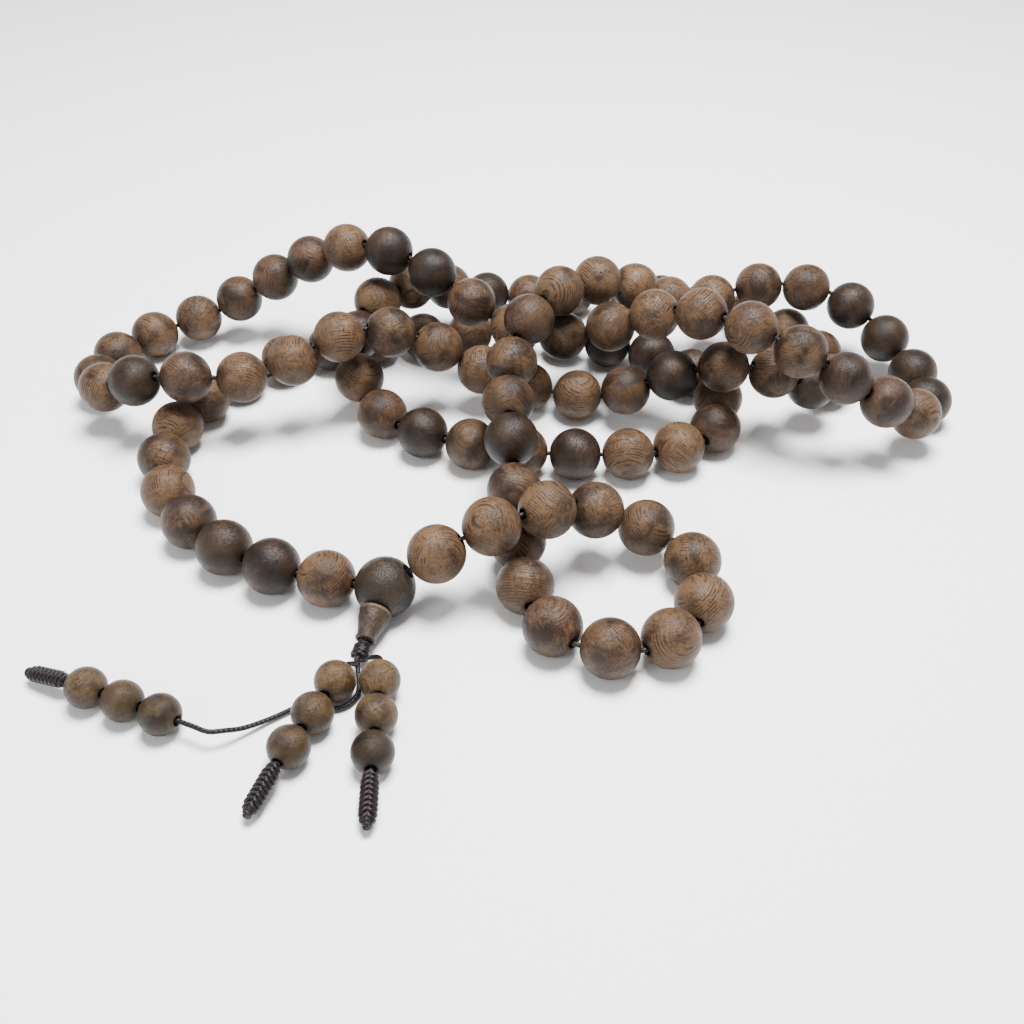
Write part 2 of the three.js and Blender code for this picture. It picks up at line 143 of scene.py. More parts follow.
# The third strand's bare cord, in counter pitches from the tower knot's end, with its height from 0 on
# the surface to 1 at the counter beads' holes.
BARE_CORD_ROUTE = [
    (0.02, -0.3, 0.06), (0.07, -0.58, 0), (0.07, -0.87, 0), (-0.07, -1.16, 0), (-0.34, -1.31, 0),
    (-0.6, -1.29, 0), (-0.92, -1.21, 0), (-1.25, -1.26, 0), (-1.76, -1.58, 0.02),
    (-2.3, -1.96, 0.35), (-2.68, -2.18, 0.8),
]
STRAIGHT_START = (-3.01, -2.27)
FIRST_COUNTER_A = (-0.41, -0.83)
FIRST_COUNTER_B = (0.6, -0.81)

UP = np.array([0.0, 0.0, 1.0])
chance = np.random.default_rng(108)


# ---- Small helpers on vectors ----

def unit(vector):
    """The vector at length one."""
    vector = np.asarray(vector, float)
    return vector / np.linalg.norm(vector)


def direction_of(heading, drop=0.0):
    """The direction at a heading, in degrees from -Y towards +X, dropping by an angle in radians."""
    turn = math.radians(heading)
    flat = math.cos(drop)
    return np.array([math.sin(turn) * flat, -math.cos(turn) * flat, -math.sin(drop)])


def frame_along(axis):
    """Rows side, axis, top: a frame whose second axis is the given one and whose third points up."""
    axis = unit(axis)
    side = unit(np.cross(axis, UP))
    return np.array([side, axis, np.cross(side, axis)])


def smooth(corners, per_span):
    """A Catmull-Rom curve: on each span a cubic through its ends, whose slope at a corner is half the
    way from the corner before it to the corner after it."""
    corners = np.asarray(corners, float)
    ends = np.vstack([2 * corners[0] - corners[1], corners, 2 * corners[-1] - corners[-2]])
    t = (np.arange(per_span) / per_span)[None, :, None]
    before, start, stop, after = (ends[i:len(ends) - 3 + i, None, :] for i in range(4))
    slope_start = (stop - before) / 2
    slope_stop = (after - start) / 2
    bend = -3 * start + 3 * stop - 2 * slope_start - slope_stop
    twist = 2 * start - 2 * stop + slope_start + slope_stop
    spans = start + slope_start * t + bend * t**2 + twist * t**3
    return np.vstack([spans.reshape(-1, corners.shape[1]), corners[-1:]])


def run_of(points):
    """The distance run along a line of points at each of them."""
    steps = np.linalg.norm(np.diff(points, axis=0), axis=1)
    return np.concatenate([[0.0], np.cumsum(steps)])


# ---- The string's route ----

def flat_route(ring_size):
    """The main string from above, at one size of its rings."""
    hub = np.array(RING_HUB)
    ring = hub + (np.array(RING_ROUTE) - hub) * ring_size
    corners = np.vstack([(0, 0), LEAVE_GURU, ring, FRONT_ROUTE, MEET_GURU, (0, 0)])
    return smooth(corners * BEAD_PITCH, SAMPLES_PER_SPAN)


def drop_at(distance):
    """How far below its highest point the string is at a distance from it: a round hump, distance
    squared over twice the hump's radius, then a straight slope."""
    bend = HUMP_RADIUS * STEEPEST
    return np.where(distance < bend, distance**2 / (2 * HUMP_RADIUS), STEEPEST * (distance - bend / 2))


def lift_crossings(route):
    """The route with its heights: a later stretch is carried one string's thickness away from an
    earlier one, and each carried place holds its neighbours up in a hump."""
    run = run_of(route)
    apart = np.abs(run[:, None] - run[None, :])
    apart = np.minimum(apart, run[-1] - apart)
    offset = route[:, None, :] - route[None, :, :]
    room = STRING_THICKNESS**2 - (offset**2).sum(axis=2)
    later, earlier = np.nonzero(np.tril((apart >= OWN_STRETCH * BEAD_PITCH) & (room > 0), -1))
    rise = np.sqrt(room[later, earlier])
    carried = np.full(len(route), BEAD_REST)
    carried[[0, -1]] = GURU_REST
    height = carried.copy()
    for _ in range(LAYERS):
        known = carried.copy()
        np.maximum.at(carried, later, height[earlier] + rise)
        peaks = np.nonzero(carried > BEAD_REST)[0]
        drops = drop_at(np.abs(run[:, None] - run[None, peaks]))
        height = np.maximum(BEAD_REST, (carried[None, peaks] - drops).max(axis=1))
        if np.array_equal(known, carried):
            break
    return np.column_stack([route, height])


def step_along(route, distances):
    """Stops along a route from its start, each a straight distance from the one before. It ends where
    the route ends."""
    points = route.tolist()
    stops = [points[0]]
    index = 1
    for distance in distances:
        here = stops[-1]
        while index < len(points) and math.dist(points[index], here) < distance:
            index += 1
        if index == len(points):
            return np.array(stops)
        start = np.array(points[index - 1])
        span = np.array(points[index]) - start
        back = start - here
        a, b, c = span @ span, back @ span, back @ back - distance**2
        stops.append((start + span * (math.sqrt(b * b - a * c) - b) / a).tolist())
    return np.array(stops)


def string_corners():
    """The corners of the cord, which are the guru's centre, the middle of each gap and the guru's
    centre again, and each gap's distance from the bead centres beside it. The rings are sized so that
    the beads fill the string."""
    reach = np.full(BEAD_COUNT + 1, BEAD_PITCH / 2)
    guru_half = GURU_RADIUS + GAP / 2
    too_small, fits = RING_SIZES
    corners = None
    for _ in range(SIZING_PASSES):
        distances = [guru_half, *(reach[1:] + reach[:-1]), guru_half]
        for _ in range(RING_HALVINGS):
            size = (too_small + fits) / 2
            found = step_along(lift_crossings(flat_route(size)), distances)
            if len(found) == len(distances) + 1:
                fits, corners = size, found
            else:
                too_small = size
        links = np.diff(corners, axis=0)
        links /= np.linalg.norm(links, axis=1)[:, None]
        turns = np.arccos(np.clip((links[1:] * links[:-1]).sum(axis=1), -1, 1))
        reach = BEAD_PITCH / 2 / np.cos(turns / 2)
        too_small, fits = fits - SIZE_MARGIN, fits + SIZE_MARGIN
    return corners, reach


corners, reach = string_corners()
gaps = corners[1:-1]
links = np.diff(gaps, axis=0)
bead_axes = links / np.linalg.norm(links, axis=1)[:, None]
bead_centres = gaps[:-1] + bead_axes * reach[:-1, None]
cad_low, cad_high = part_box("main_bead_001")
shift = (np.array(cad_low) + np.array(cad_high)) / 2 - bead_centres[0]
gaps = gaps + shift
bead_centres = bead_centres + shift
guru_centre = corners[0] + shift
toward_first = unit(gaps[0] - guru_centre)
toward_last = unit(gaps[-1] - guru_centre)
tower_axis = direction_of(TOWER_HEADING, TOWER_DROP)
knot_face = guru_centre + tower_axis * KNOT_END
surface = shift[2]  # height of the surface that the mala lies on, in the frame


def from_knot(place, height):
    """A place given in counter pitches from the tower knot's end, at a height over the surface."""
    x, y = knot_face[:2] + np.array(place[:2]) * COUNTER_PITCH
    return np.array([x, y, surface + height])


# ---- Camera ----

LENS = 40
SENSOR = 36
CAMERA_ELEVATION = 41
CAMERA_DISTANCE = 1.16  # in widths of the mala, as are the two shares of the aim
AIM_RIGHT = 0.005
AIM_FORWARD = 0.04
AIM_HEIGHT = 4 * MM


def add_camera():
    """Looks down along +Y at the front of the mala, near enough for a strong perspective."""
    low, high = (np.array(corner) for corner in CAD_BOX)
    middle = (low + high) / 2
    width = high[0] - low[0]
    elevation = math.radians(CAMERA_ELEVATION)
    distance = CAMERA_DISTANCE * width
    data = bpy.data.cameras.new("camera")
    data.lens = LENS
    data.sensor_width = SENSOR
    camera = bpy.data.objects.new("camera", data)
    target = Vector((middle[0] + AIM_RIGHT * width, middle[1] - AIM_FORWARD * width, AIM_HEIGHT))
    back = Vector((0, -math.cos(elevation), math.sin(elevation)))
    camera.location = target + back * distance
    camera.rotation_euler = (-back).to_track_quat("-Z", "Y").to_euler()
    bpy.context.scene.collection.objects.link(camera)
    bpy.context.scene.camera = camera


# ---- Meshes ----

CORD_SIDES = 12
THREAD_SIDES = 8
TIP_WIDTH = 0.4  # of the radius, at a tube's blunt ends
TIP_LENGTH = 0.25


def grid_faces(rows, columns, wrap_rows):
    """Quads between the points of a grid whose columns run round; its rows may close up too."""
    row = np.arange(rows if wrap_rows else rows - 1)[:, None]
    column = np.arange(columns)[None, :]
    next_row = (row + 1) % rows
    next_column = (column + 1) % columns
    quads = [row * columns + column, row * columns + next_column,
             next_row * columns + next_column, next_row * columns + column]
    return np.stack(quads, axis=-1).reshape(-1, 4)


def capped_faces(rows, columns):
    """The faces of a grid that runs round, closed by one face at its first row and one at its last."""
    faces = grid_faces(rows, columns, False).tolist()
    faces.append(list(range(columns))[::-1])
    faces.append(list(range((rows - 1) * columns, rows * columns)))
    return faces


def turned(profile, sides):
    """The points of a profile of radius and height carried round the Y axis, row by row."""
    turn = 2 * np.pi * np.arange(sides) / sides
    across, height = profile[:, 0, None], profile[:, 1, None]
    rows = np.broadcast_arrays(across * np.cos(turn), height, across * np.sin(turn))
    return np.stack(rows, axis=-1).reshape(-1, 3)


def add_piece(name, points, faces, body, material, nodes, attributes=None, uv=None):
    """A finished piece: its mesh, its material and the body it rides on."""
    mesh = bpy.data.meshes.new(name)
    mesh.from_pydata(points.tolist(), [], [list(face) for face in faces])
    for label, values in (attributes or {}).items():
        values = np.asarray(values, float)
        kind = "FLOAT_VECTOR" if values.ndim == 2 else "FLOAT"
        layer = mesh.attributes.new(label, kind, "POINT")
        layer.data.foreach_set("vector" if values.ndim == 2 else "value", values.ravel())
    if uv is not None:
        point_of_corner = np.empty(len(mesh.loops), int)
        mesh.loops.foreach_get("vertex_index", point_of_corner)
        layer = mesh.uv_layers.new(name="UVMap")
        layer.data.foreach_set("uv", uv[point_of_corner].ravel())
    mesh.polygons.foreach_set("use_smooth", np.ones(len(mesh.polygons), bool))
    mesh.update()
    mesh.materials.append(material)
    piece = bpy.data.objects.new(name, mesh)
    bpy.context.scene.collection.objects.link(piece)
    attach(piece, body)
    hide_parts(*nodes)
    return piece


def tube(path, radius, sides=CORD_SIDES):
    """A closed round tube: a circle carried along a path on a frame that turns as little as it can,
    drawn in a little at both ends. Returns points, faces and the run and turn of each point."""
    path = np.asarray(path, float)
    tangents = np.gradient(path, axis=0)
    tangents /= np.linalg.norm(tangents, axis=1)[:, None]
    side = unit(np.cross(tangents[0], UP if abs(tangents[0][2]) < 0.9 else (1.0, 0.0, 0.0)))
    sides_along = []
    for tangent in tangents:
        side = unit(side - tangent * (side @ tangent))
        sides_along.append(side)
    across = np.array(sides_along)
    over = np.cross(tangents, across)
    turn = 2 * np.pi * np.arange(sides) / sides
    ring = across[:, None] * np.cos(turn)[None, :, None] + over[:, None] * np.sin(turn)[None, :, None]
    points = path[:, None] + ring * radius
    tip_start = path[0] + ring[0] * TIP_WIDTH * radius - tangents[0] * TIP_LENGTH * radius
    tip_stop = path[-1] + ring[-1] * TIP_WIDTH * radius + tangents[-1] * TIP_LENGTH * radius
    points = np.concatenate([tip_start[None], points, tip_stop[None]])
    rows = len(points)
    faces = capped_faces(rows, sides)
    tip = TIP_LENGTH * radius
    run = run_of(path)
    run = np.concatenate([[run[0] - tip], run, [run[-1] + tip]])
    uv = np.stack(np.broadcast_arrays(run[:, None], turn[None, :] / (2 * np.pi)), axis=-1)
    return points.reshape(-1, 3), faces, uv.reshape(-1, 2)


def join(parts):
    """Several meshes, each points, faces and uv, as one."""
    points, faces, uv = [], [], []
    count = 0
    for part_points, part_faces, part_uv in parts:
        points.append(part_points)
        uv.append(part_uv)
        faces += [[corner + count for corner in face] for face in part_faces]
        count += len(part_points)
    return np.vstack(points), faces, np.vstack(uv)


# ---- Beads ----

BEAD_ROUND = 44
BEAD_RINGS = 30
UNEVENNESS = 0.011
GRAIN_SCATTER = 40
# How far the painted shade in and round each bore reaches onto a bead's outside.
MOUTH_SHADE_REACH = 0.9 * MM

# Three kinds of bead, plain dark, figured brown and figured tan: their shares, tones and figures.
KIND_SHARES = [0.25, 0.45, 0.3]
KIND_TONES = [0.15, 0.45, 0.75]
KIND_FIGURES = [0.1, 0.75, 1.0]


def bead_profile(radius):
    """A drilled ball's outline from one mouth round the outside to the other and back through the
    bore: a circular arc, a small bevel at each mouth and the straight wall of the hole."""
    mouth = math.asin(1.28 * BORE_RADIUS / radius)
    angle = np.linspace(mouth, math.pi - mouth, BEAD_RINGS)
    arc = np.column_stack([radius * np.sin(angle), radius * np.cos(angle)])
    end = arc[0, 1]
    bevel = np.array([(1.1 * BORE_RADIUS, end - 0.08 * MM), (0.98 * BORE_RADIUS, end - 0.3 * MM)])
    wall = [(0.95 * BORE_RADIUS, share * end) for share in (-0.6, -0.2, 0.2, 0.6)]
    return np.vstack([arc, bevel * [1, -1], wall, bevel[::-1]])


def chance_grain(local):
    """Grain coordinates: the local ones turned and moved by chance, so that no two beads match."""
    turn = np.linalg.qr(chance.normal(size=(3, 3)))[0]
    return local @ turn + chance.uniform(-GRAIN_SCATTER, GRAIN_SCATTER, 3)


def one_bead(centre, axis, radius):
    """A turned bead in its place. Its radius varies a little with direction, as a sum of squared
    cosines to a few chance directions. Returns points, faces and grain coordinates."""
    profile = bead_profile(radius)
    local = turned(profile, BEAD_ROUND)
    heading = local / np.linalg.norm(local, axis=1)[:, None]
    poles = chance.normal(size=(3, 3))
    poles /= np.linalg.norm(poles, axis=1)[:, None]
    uneven = ((heading @ poles.T) ** 2 - 0.35) @ chance.uniform(-UNEVENNESS, UNEVENNESS, 3)
    local = local * (1 + uneven)[:, None]
    points = centre + local @ frame_along(axis)
    faces = grid_faces(len(profile), BEAD_ROUND, True)
    return points, faces, chance_grain(local / radius)


def bead_piece(node, body, members, radius, material, tones):
    """One or several beads as one piece, with each bead's own grain, tone and figure."""
    points, faces, grain, tone, figure, mouth = [], [], [], [], [], []
    count = 0
    for (centre, axis), (bead_tone, bead_figure) in zip(members, tones):
        bead_points, bead_faces, bead_grain = one_bead(centre, axis, radius)
        points.append(bead_points)
        grain.append(bead_grain)
        tone.append(np.full(len(bead_points), bead_tone))
        figure.append(np.full(len(bead_points), bead_figure))
        offset = bead_points - centre
        away = np.linalg.norm(offset - (offset @ axis)[:, None] * axis, axis=1)
        # Painted shade in the bore: full on the bore's wall, fading out across the bead's outside round
        # the hole.
        mouth.append(np.clip(1 - (away - BORE_RADIUS) / MOUTH_SHADE_REACH, 0, 1))
        faces.append(bead_faces + count)
        count += len(bead_points)
    attributes = {
        "grain": np.vstack(grain),
        "tone": np.concatenate(tone),
        "figure": np.concatenate(figure),
        "mouth": np.concatenate(mouth),
        "worn": np.zeros(count),
    }
    return add_piece(node + "_wood", np.vstack(points), np.vstack(faces), body, material, [node],
                     attributes=attributes)


def chance_tones(count):
    """A tone from 0, dark, to 1, tan, and a strength of figure for each of several beads."""
    kinds = chance.choice(3, size=count, p=KIND_SHARES)
    tone = np.array(KIND_TONES)[kinds] + chance.uniform(-0.14, 0.14, count)
    figure = np.array(KIND_FIGURES)[kinds] + chance.uniform(-0.1, 0.1, count)
    return list(zip(np.clip(tone, 0, 1), np.clip(figure, 0, 1)))


# ---- Materials ----

WOOD_RELIEF = 0.11 * MM
CORD_RELIEF = 0.07 * MM
TWIST_PITCH = 0.9 * MM


class Look:
    """A material's node tree, built by short calls."""

    def __init__(self, name):
        self.material = bpy.data.materials.new(name)
        self.material.use_nodes = True
        self.tree = self.material.node_tree
        self.tree.nodes.clear()
        self.shader = self.node("ShaderNodeBsdfPrincipled")
        output = self.node("ShaderNodeOutputMaterial")
        self.tree.links.new(self.shader.outputs[0], output.inputs[0])

    def node(self, kind, settings=None, **inputs):
        """A node with its settings, and its inputs given as numbers, colours or other sockets."""
        node = self.tree.nodes.new(kind)
        for label, value in (settings or {}).items():
            setattr(node, label, value)
        for label, value in inputs.items():
            self.set(node.inputs[label.replace("_", " ")], value)
        return node

    def set(self, socket, value):
        """Links a socket to another, or gives it a constant."""
        if isinstance(value, bpy.types.NodeSocket):
            self.tree.links.new(value, socket)
        else:
            socket.default_value = value

    def attribute(self, name, output="Fac"):
        """One of the piece's own attributes."""
        return self.node("ShaderNodeAttribute", {"attribute_name": name}).outputs[output]

    def stretched(self, vector, scale):
        """Coordinates scaled by a different amount along each axis."""
        return self.node("ShaderNodeMapping", Vector=vector, Scale=scale).outputs["Vector"]

    def noise(self, vector, scale, detail=4.0, roughness=0.55, distortion=0.0):
        """Cloudy noise from 0 to 1."""
        made = self.node("ShaderNodeTexNoise", Vector=vector, Scale=scale, Detail=detail,
                         Roughness=roughness, Distortion=distortion)
        return made.outputs["Fac"]

    def wave(self, vector, scale, distortion, detail=2.0):
        """Parallel bands, bent by noise."""
        made = self.node("ShaderNodeTexWave", Vector=vector, Scale=scale, Distortion=distortion,
                         Detail=detail)
        return made.outputs["Fac"]

    def ramp(self, value, stops):
        """A colour for each value, between stops of (place, colour)."""
        node = self.node("ShaderNodeValToRGB", Fac=value)
        points = node.color_ramp.elements
        while len(points) < len(stops):
            points.new(0.5)
        for point, (place, color) in zip(points, stops):
            point.position = place
            point.color = (*color, 1.0)
        return node.outputs["Color"]

    def between(self, value, low, high):
        """The value's way from low to high, held between 0 and 1."""
        made = self.node("ShaderNodeMapRange", Value=value, From_Min=low, From_Max=high)
        return made.outputs["Result"]

    def math(self, operation, first, second=0.0):
        """A sum, product or the like of two values."""
        node = self.node("ShaderNodeMath", {"operation": operation})
        self.set(node.inputs[0], first)
        self.set(node.inputs[1], second)
        return node.outputs[0]

    def total(self, *terms):
        """The sum of several values, each times its weight."""
        parts = [self.math("MULTIPLY", value, weight) for value, weight in terms]
        total = parts[0]
        for part in parts[1:]:
            total = self.math("ADD", total, part)
        return total

    def mix(self, share, first, second):
        """A share of the second colour laid over the first."""
        node = self.node("ShaderNodeMix", {"data_type": "RGBA"})
        self.set(node.inputs[0], share)
        self.set(node.inputs[6], first)
        self.set(node.inputs[7], second)
        return node.outputs[2]

    def finish(self, color, roughness, relief, depth, **constants):
        """Sets the shader: colour, roughness, relief of a given depth in metres, and constants."""
        self.set(self.shader.inputs["Base Color"], color)
        self.set(self.shader.inputs["Roughness"], roughness)
        bump = self.node("ShaderNodeBump", Height=relief, Distance=depth, Strength=1.0)
        self.set(self.shader.inputs["Normal"], bump.outputs["Normal"])
        for label, value in constants.items():
            self.set(self.shader.inputs[label.replace("_", " ")], value)
        return self.material


def wood_look(name, dark, middle, tan):
    """Rubbed wood: streaks along the grain, broken ripple marks across it where the bead is figured,
    clouds of lighter and darker wood, fine dark pores, and painted shade in and round the bores."""
    look = Look(name)
    grain = look.attribute("grain", "Vector")
    tone = look.attribute("tone")
    figure = look.attribute("figure")
    mouth = look.attribute("mouth")
    worn = look.attribute("worn")

    streak = look.noise(look.stretched(grain, (1.0, 6.0, 6.0)), 1.6, 6.0, 0.7, 0.5)
    fibre = look.noise(look.stretched(grain, (3.0, 26.0, 26.0)), 1.3, 4.0, 0.7, 0.2)
    cloud = look.noise(grain, 1.1, 3.0, 0.5, 0.4)
    shade = look.total((streak, 1.3), (fibre, 0.6), (cloud, 1.3), (tone, 0.75))
    color = look.ramp(look.between(shade, 1.5, 2.4), [(0.0, dark), (0.5, middle), (1.0, tan)])

    ripple = look.wave(look.stretched(grain, (1.0, 0.12, 0.22)), 3.3, 2.6, 2.0)
    breaks = look.noise(look.stretched(grain, (8.0, 2.2, 2.2)), 1.0, 2.0)
    patches = look.noise(look.stretched(grain, (0.7, 1.0, 1.2)), 1.0, 1.0, 0.5, 0.5)
    figured = look.math("MULTIPLY", figure, look.between(patches, 0.45, 0.56))
    broken = look.math("MULTIPLY", look.between(breaks, 0.42, 0.55), figured)
    marks = look.math("MULTIPLY", look.between(ripple, 0.38, 0.72), broken)
    pores = look.between(look.noise(look.stretched(grain, (4.0, 18.0, 18.0)), 2.0, 2.0), 0.58, 0.66)
    rubbed = look.math("MULTIPLY", worn, look.between(streak, 0.3, 0.55))

    brown = [0.55 * part for part in middle]
    black = [0.4 * part for part in dark]
    pale = [1.4 * part for part in tan]
    # The mouth layer is painted shade in the bores and the guru's pits; the other layers are the wood's
    # own colour and wear.
    layers = [(figured, 0.6, tan), (marks, 0.85, brown), (pores, 0.7, black), (mouth, 0.85, black),
              (rubbed, 1.0, pale)]
    for cover, strength, over in layers:
        color = look.mix(look.math("MULTIPLY", cover, strength), color, (*over, 1.0))

    roughness = look.math("ADD", look.math("MULTIPLY", streak, 0.3), 0.26)
    relief = look.total((streak, 1.0), (fibre, 0.7), (pores, -1.0), (marks, -0.7))
    return look.finish(color, roughness, relief, WOOD_RELIEF, Specular_IOR_Level=0.2)


def cord_look(name, dark, middle, pale):
    """Waxed twisted thread: bands slanting round the cord, darker in the twist's grooves as painted shade
    and mottled by its fibres, with a dull waxy gloss.
    """
    look = Look(name)
    place = look.node("ShaderNodeUVMap", {"uv_map": "UVMap"}).outputs["UV"]
    parts = look.node("ShaderNodeSeparateXYZ", Vector=place)
    along = look.math("MULTIPLY", parts.outputs["X"], 1 / TWIST_PITCH)
    twist = look.math("ADD", along, look.math("MULTIPLY", parts.outputs["Y"], 2.0))
    ridge = look.between(look.math("SINE", look.math("MULTIPLY", twist, 2 * math.pi)), -1.0, 1.0)
    fuzz = look.noise(look.node("ShaderNodeTexCoord").outputs["Object"], 4200.0, 3.0)
    # The colour follows the twist's relief, darker in its grooves as painted shade, and is mottled by the
    # fibres' own fuzz.
    shade = look.total((ridge, 0.45), (fuzz, 0.6))
    color = look.ramp(shade, [(0.1, dark), (0.55, middle), (1.0, pale)])
    relief = look.total((ridge, 1.0), (fuzz, 0.4))
    return look.finish(color, 0.5, relief, CORD_RELIEF, Specular_IOR_Level=0.25)


bead_wood = wood_look(
    "bead wood",
    dark=(0.0048, 0.0028, 0.0019),
    middle=(0.0235, 0.0122, 0.007),
    tan=(0.1, 0.055, 0.0265),
)
guru_wood = wood_look(
    "guru wood",
    dark=(0.005, 0.0037, 0.0027),
    middle=(0.018, 0.012, 0.008),
    tan=(0.062, 0.04, 0.024),
)
counter_wood = wood_look(
    "counter wood",
    dark=(0.0052, 0.0036, 0.002),
    middle=(0.0245, 0.0142, 0.0068),
    tan=(0.1, 0.06, 0.026),
)
waxed_cord = cord_look(
    "waxed cord",
    dark=(0.0007, 0.0004, 0.0005),
    middle=(0.0045, 0.002, 0.0024),
    pale=(0.02, 0.01, 0.0105),
)


# ---- Cords ----

CORD_STEP = 0.5 * MM
BARE_CORD_STEP = 0.9 * MM
IN_KNOT_A = 0.4 * MM
IN_KNOT_B = 0.5 * MM


def cord_in_guru(sideways):
    """The cord's way from the tower up into the guru ball and out through one of its side bores."""
    across = unit(sideways - tower_axis * (sideways @ tower_axis))
    beside = CORD_RADIUS + CLEARANCE
    in_tower = [guru_centre + tower_axis * distance + across * beside
                for distance in (TOWER_END - GAP, GURU_RADIUS * 0.5, CORD_RADIUS * 1.6)]
    in_ball = [guru_centre + sideways * CORD_RADIUS * 2.8, guru_centre + sideways * GURU_RADIUS * 0.6]
    return in_tower + in_ball


def main_cord_piece():
    """The cord through all the beads, gently rounded at each gap."""
    path = np.array([*cord_in_guru(toward_first), *gaps, *cord_in_guru(toward_last)[::-1]])
    rounded = [path[0]]
    for before, here, after in zip(path, path[1:], path[2:]):
        rounded += [here + (before - here) * share for share in (0.16, 0.06)]
        rounded += [here + (after - here) * share for share in (0.06, 0.16)]
    rounded.append(path[-1])
    points, faces, uv = tube(rounded, CORD_RADIUS, 10)
    add_piece("main_string", points, faces, "loop", waxed_cord, ["main_cord"], uv=uv)


def strand_cord(letter, path, body):
    """A counter strand's cord."""
    points, faces, uv = tube(path, CORD_RADIUS)
    return add_piece(f"counter_cord_{letter}_thread", points, faces, body, waxed_cord,
                     [f"counter_cord_{letter}"], uv=uv)


def strand_places(first, direction):
    """The three bead centres of a strand, the cord's end and the end knot's start and axis."""
    centres = [first + direction * i * COUNTER_PITCH for i in range(3)]
    cord_end = centres[-1] + direction * (COUNTER_RADIUS + STRAND_SPARE_END)
    fall = math.asin((COUNTER_REST - END_KNOT_RADIUS - CLEARANCE) / END_KNOT_LENGTH)
    axis = direction * math.cos(fall) - UP * math.sin(fall)
    return centres, cord_end, cord_end + direction * GAP, axis


def evenly(path, spacing):
    """The same path with points at even distances."""
    path = np.asarray(path, float)
    run = run_of(path)
    places = np.linspace(0, run[-1], max(8, int(run[-1] / spacing)))
    return np.column_stack([np.interp(places, run, path[:, i]) for i in range(3)])


def path_a():
    """Strand A leaves the end of the tower knot and lies over the third strand's cord."""
    first = from_knot(FIRST_COUNTER_A, COUNTER_REST)
    direction = direction_of(HEADING_A)
    places = strand_places(first, direction)
    start = knot_face + tower_axis * JOINT_ROOM + UP * CORD_RADIUS * 1.3
    mouth = first - direction * COUNTER_RADIUS
    middle = start + (mouth - start) * 0.65
    middle[2] = surface + COUNTER_REST * 0.88
    in_knot = start - tower_axis * (JOINT_ROOM + IN_KNOT_A)
    path = smooth([in_knot, start, start + tower_axis * 1.6 * CORD_RADIUS, middle, mouth, first], 8)
    return evenly(np.vstack([path, places[1]]), CORD_STEP), places, direction


def path_b():
    """Strand B leaves the side of the tower knot and bends down into its first bead."""
    first = from_knot(FIRST_COUNTER_B, COUNTER_REST)
    direction = direction_of(HEADING_B)
    places = strand_places(first, direction)
    beside = -unit(np.cross(tower_axis, UP))
    start = knot_face - tower_axis * TOWER_KNOT_RADIUS * 0.6 + beside * (TOWER_KNOT_RADIUS + JOINT_ROOM)
    mouth = first - direction * COUNTER_RADIUS
    turn_low = np.array([mouth[0], start[1], (start[2] + surface + COUNTER_REST) / 2])
    turn_high = np.array([mouth[0], start[1], surface + COUNTER_REST])
    pull_start = start + (turn_low - start) * 0.6
    pull_stop = mouth + (turn_high - mouth) * 0.55
    t = np.linspace(0, 1, 25)[:, None]
    path = ((1 - t) ** 3 * start + 3 * (1 - t) ** 2 * t * pull_start
            + 3 * (1 - t) * t**2 * pull_stop + t**3 * mouth)
    in_knot = start - beside * (JOINT_ROOM + IN_KNOT_B)
    return evenly(np.vstack([in_knot, path, places[1]]), CORD_STEP), places, direction


def path_c():
    """Strand C's bare cord passes under strand A and runs straight into its beads."""
    direction = direction_of(HEADING_C)
    straight = from_knot(STRAIGHT_START, COUNTER_REST)
    straight_length = 3 * COUNTER_SLIDE + GAP
    first = straight + direction * (straight_length + COUNTER_RADIUS)
    places = strand_places(first, direction)
    start = knot_face + tower_axis * GAP - UP * CORD_RADIUS * 1.2
    climb = COUNTER_REST - CORD_REST
    bare = [from_knot(place, CORD_REST + place[2] * climb) for place in BARE_CORD_ROUTE]
    path = smooth([start, *bare, straight, straight + direction * straight_length / 2], 8)
    return evenly(np.vstack([path, places[1]]), BARE_CORD_STEP), places, direction


# ---- Knots ----

WRAP_THREAD = 0.56 * MM
WRAP_TURNS = 4
LOOP_THREAD = 0.45 * MM
STITCH_THREAD = 0.47 * MM
STITCH_ROWS = 9
NUB_THREAD = 0.42 * MM
NUB_TURNS = 2


def chevrons(start, axis, length, width, depth, rows):
    """A knotted column: rows of stitches, each two bent cords, one on each side. A cord goes half way
    round the column on an ellipse and is furthest along at the column's side."""
    side, _, top = frame_along(axis)
    t = np.linspace(-1, 1, 15)
    stitches = []
    for row in range(rows):
        place = (row + 0.5) / rows
        size = min(1, 0.72 + 1.6 * place, 0.72 + 1.6 * (1 - place))
        for hand in (-1, 1):
            turn = hand * (math.pi / 2 + t * math.pi / 2)
            ahead = length * (place + (0.9 * np.abs(np.sin(turn)) - 0.45) / rows)
            path = (start + ahead[:, None] * axis
                    + (width * size * np.sin(turn))[:, None] * side
                    + (depth * size * np.cos(turn))[:, None] * top)
            stitches.append(tube(path, STITCH_THREAD, THREAD_SIDES))
    return stitches


def wrapping(start, axis, length, radius, turns, thread):
    """A cord wound round an axis as a helix, its ends drawn in to the axis."""
    side, _, top = frame_along(axis)
    t = np.linspace(0, 1, 20 * turns)
    angle = 2 * np.pi * turns * t
    out = radius * np.clip(np.minimum(t, 1 - t) / 0.06, 0.2, 1) ** 0.5
    path = (start + t[:, None] * length * axis + (out * np.cos(angle))[:, None] * side
            + (out * np.sin(angle))[:, None] * top)
    return tube(path, thread, THREAD_SIDES)


def core(start, axis, length, radius):
    """The cords inside a knot, seen only between its turns."""
    t = np.linspace(0, 1, 8)[:, None]
    return tube(start + t * length * axis, radius)


